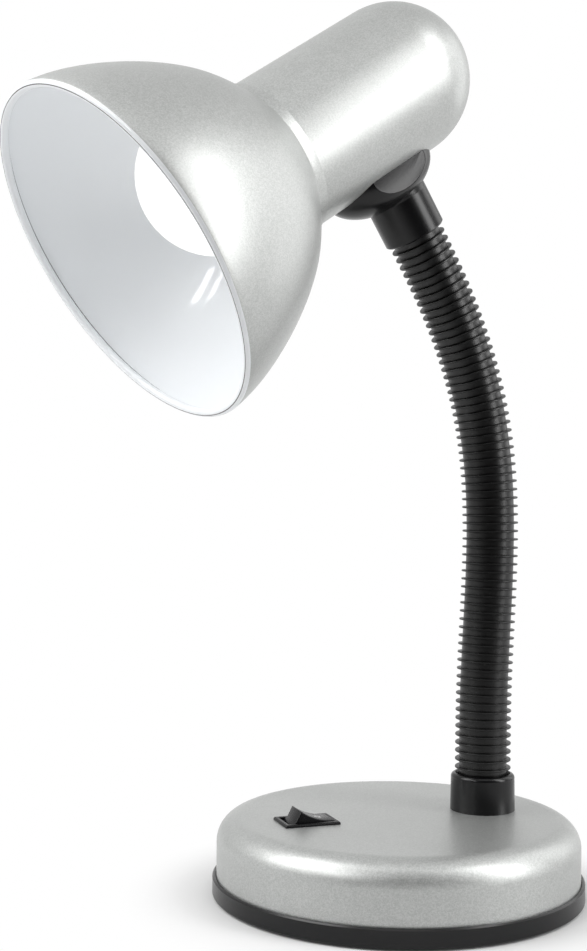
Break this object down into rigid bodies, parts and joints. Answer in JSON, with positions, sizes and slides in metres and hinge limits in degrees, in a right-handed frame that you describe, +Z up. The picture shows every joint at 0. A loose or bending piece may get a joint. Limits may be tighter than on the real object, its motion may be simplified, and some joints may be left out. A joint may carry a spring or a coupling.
{
  "type": "gooseneck desk lamp",
  "caption": "Desk lamp with a round weighted base, rocker switch, black ribbed gooseneck, silver tubular lamp housing and bell shade, white inside, round an opal bulb.",
  "frame": {"origin": "middle of the base's flat underside, on the table", "axes": "+Z up; -X towards the front of the base, where the switch is; +X towards the cord inlet at the back. The neck stands at +X and bends forward over the base."},
  "size_m": [0.2188, 0.1611, 0.3258],
  "materials": {
    "silver_paint": "semi-gloss metallic paint",
    "black_plastic": "satin",
    "switch_plastic": "polished moulding",
    "sleeve_plastic": "satin, soft",
    "foam": "fine foam",
    "ballast_iron": "raw",
    "zinc_steel": "zinc plated",
    "holder_plastic": "moulded, heat resistant",
    "terminal_plastic": "moulded",
    "brass": "bright",
    "opal_glass": "opal",
    "cap_aluminium": "bright"
  },
  "bodies": {
    "base": {"base_tray": "black_plastic", "base_pad": "foam", "base_ballast": "ballast_iron", "base_cover": "silver_paint", "base_screws": "zinc_steel", "switch_body": "switch_plastic", "switch_terminals": "brass", "cord_inlet": "black_plastic", "terminal_block": "terminal_plastic", "neck_stud": "zinc_steel", "neck_collar": "black_plastic", "stud_washer": "zinc_steel", "stud_nut": "zinc_steel"},
    "rocker": {"switch_rocker": "switch_plastic"},
    "neck_1": {"neck_core_1": "zinc_steel", "neck_sleeve_1": "sleeve_plastic"},
    "neck_2": {"neck_core_2": "zinc_steel", "neck_sleeve_2": "sleeve_plastic"},
    "neck_3": {"neck_core_3": "zinc_steel", "neck_sleeve_3": "sleeve_plastic"},
    "neck_4": {"neck_core_4": "zinc_steel", "neck_sleeve_4": "sleeve_plastic"},
    "neck_5": {"neck_core_5": "zinc_steel", "neck_sleeve_5": "sleeve_plastic"},
    "neck_6": {"neck_core_6": "zinc_steel", "neck_sleeve_6": "sleeve_plastic"},
    "neck_7": {"neck_core_7": "zinc_steel", "neck_sleeve_7": "sleeve_plastic"},
    "neck_8": {"neck_core_8": "zinc_steel", "neck_sleeve_8": "sleeve_plastic"},
    "neck_9": {"neck_core_9": "zinc_steel", "neck_sleeve_9": "sleeve_plastic"},
    "head": {"neck_core_10": "zinc_steel", "neck_sleeve_10": "sleeve_plastic", "head_ferrule": "black_plastic", "head_saddle": "black_plastic", "head_housing": "silver_paint", "head_shade": "silver_paint", "clamp_block": "zinc_steel", "lamp_bracket": "zinc_steel", "head_washer": "zinc_steel", "head_nut": "zinc_steel", "holder_nipple": "zinc_steel", "holder_nut": "zinc_steel", "holder_body": "holder_plastic", "holder_shell": "brass", "holder_contact": "brass", "bulb_cap": "cap_aluminium", "bulb_contact": "brass", "bulb_glass": "opal_glass"}
  },
  "joints": [
    {"name": "switch_rocker", "type": "hinge", "parent": "base", "child": "rocker", "pos_m": [-0.0358, 0, 0.0242], "axis": [0, 1, 0], "range_deg": [-34, 0]},
    {"name": "neck_bend_1", "type": "hinge", "parent": "base", "child": "neck_1", "pos_m": [0.0348, 0, 0.0401], "axis": [0.2079, -0.9781, 0], "range_deg": [-7, 6], "deforming": ["neck_sleeve_1"]},
    {"name": "neck_sway", "type": "hinge", "parent": "neck_1", "child": "neck_2", "pos_m": [0.03485, 0.00001, 0.0617], "axis": [-0.9781, -0.2079, 0.0052], "range_deg": [-12, 12], "deforming": ["neck_sleeve_2"]},
    {"name": "neck_bend", "type": "hinge", "parent": "neck_2", "child": "neck_3", "pos_m": [0.03544, 0.00014, 0.08329], "axis": [0.2079, -0.9781, 0], "range_deg": [-14, 12], "deforming": ["neck_sleeve_3"]},
    {"name": "neck_sway_4", "type": "hinge", "parent": "neck_3", "child": "neck_4", "pos_m": [0.03661, 0.00038, 0.10486], "axis": [-0.9764, -0.2075, 0.0593], "range_deg": [-12, 12], "deforming": ["neck_sleeve_4"]},
    {"name": "neck_bend_5", "type": "hinge", "parent": "neck_4", "child": "neck_5", "pos_m": [0.03745, 0.00056, 0.12644], "axis": [0.2079, -0.9781, 0], "range_deg": [-14, 12], "deforming": ["neck_sleeve_5"]},
    {"name": "neck_sway_6", "type": "hinge", "parent": "neck_5", "child": "neck_6", "pos_m": [0.03707, 0.00048, 0.14803], "axis": [-0.9765, -0.2076, -0.0576], "range_deg": [-12, 12], "deforming": ["neck_sleeve_6"]},
    {"name": "neck_bend_7", "type": "hinge", "parent": "neck_6", "child": "neck_7", "pos_m": [0.03453, -0.00006, 0.16946], "axis": [0.2079, -0.9781, 0], "range_deg": [-14, 12], "deforming": ["neck_sleeve_7"]},
    {"name": "neck_sway_8", "type": "hinge", "parent": "neck_7", "child": "neck_8", "pos_m": [0.02919, -0.00119, 0.19034], "axis": [-0.926, -0.1968, -0.3223], "range_deg": [-12, 12], "deforming": ["neck_sleeve_8"]},
    {"name": "neck_bend_9", "type": "hinge", "parent": "neck_8", "child": "neck_9", "pos_m": [0.02123, -0.00288, 0.21033], "axis": [0.2079, -0.9781, 0], "range_deg": [-14, 12], "deforming": ["neck_sleeve_9"]},
    {"name": "neck_sway_10", "type": "hinge", "parent": "neck_9", "child": "head", "pos_m": [0.01109, -0.00504, 0.22927], "axis": [-0.8304, -0.1765, -0.5284], "range_deg": [-12, 12], "deforming": ["neck_sleeve_10"]}
  ],
  "couplings": [
    {"joint": "neck_bend_1", "follows": "neck_bend", "ratio": 0.5},
    {"joint": "neck_sway_4", "follows": "neck_sway", "ratio": 1},
    {"joint": "neck_bend_5", "follows": "neck_bend", "ratio": 1},
    {"joint": "neck_sway_6", "follows": "neck_sway", "ratio": 1},
    {"joint": "neck_bend_7", "follows": "neck_bend", "ratio": 1},
    {"joint": "neck_sway_8", "follows": "neck_sway", "ratio": 1},
    {"joint": "neck_bend_9", "follows": "neck_bend", "ratio": 1},
    {"joint": "neck_sway_10", "follows": "neck_sway", "ratio": 1}
  ]
}
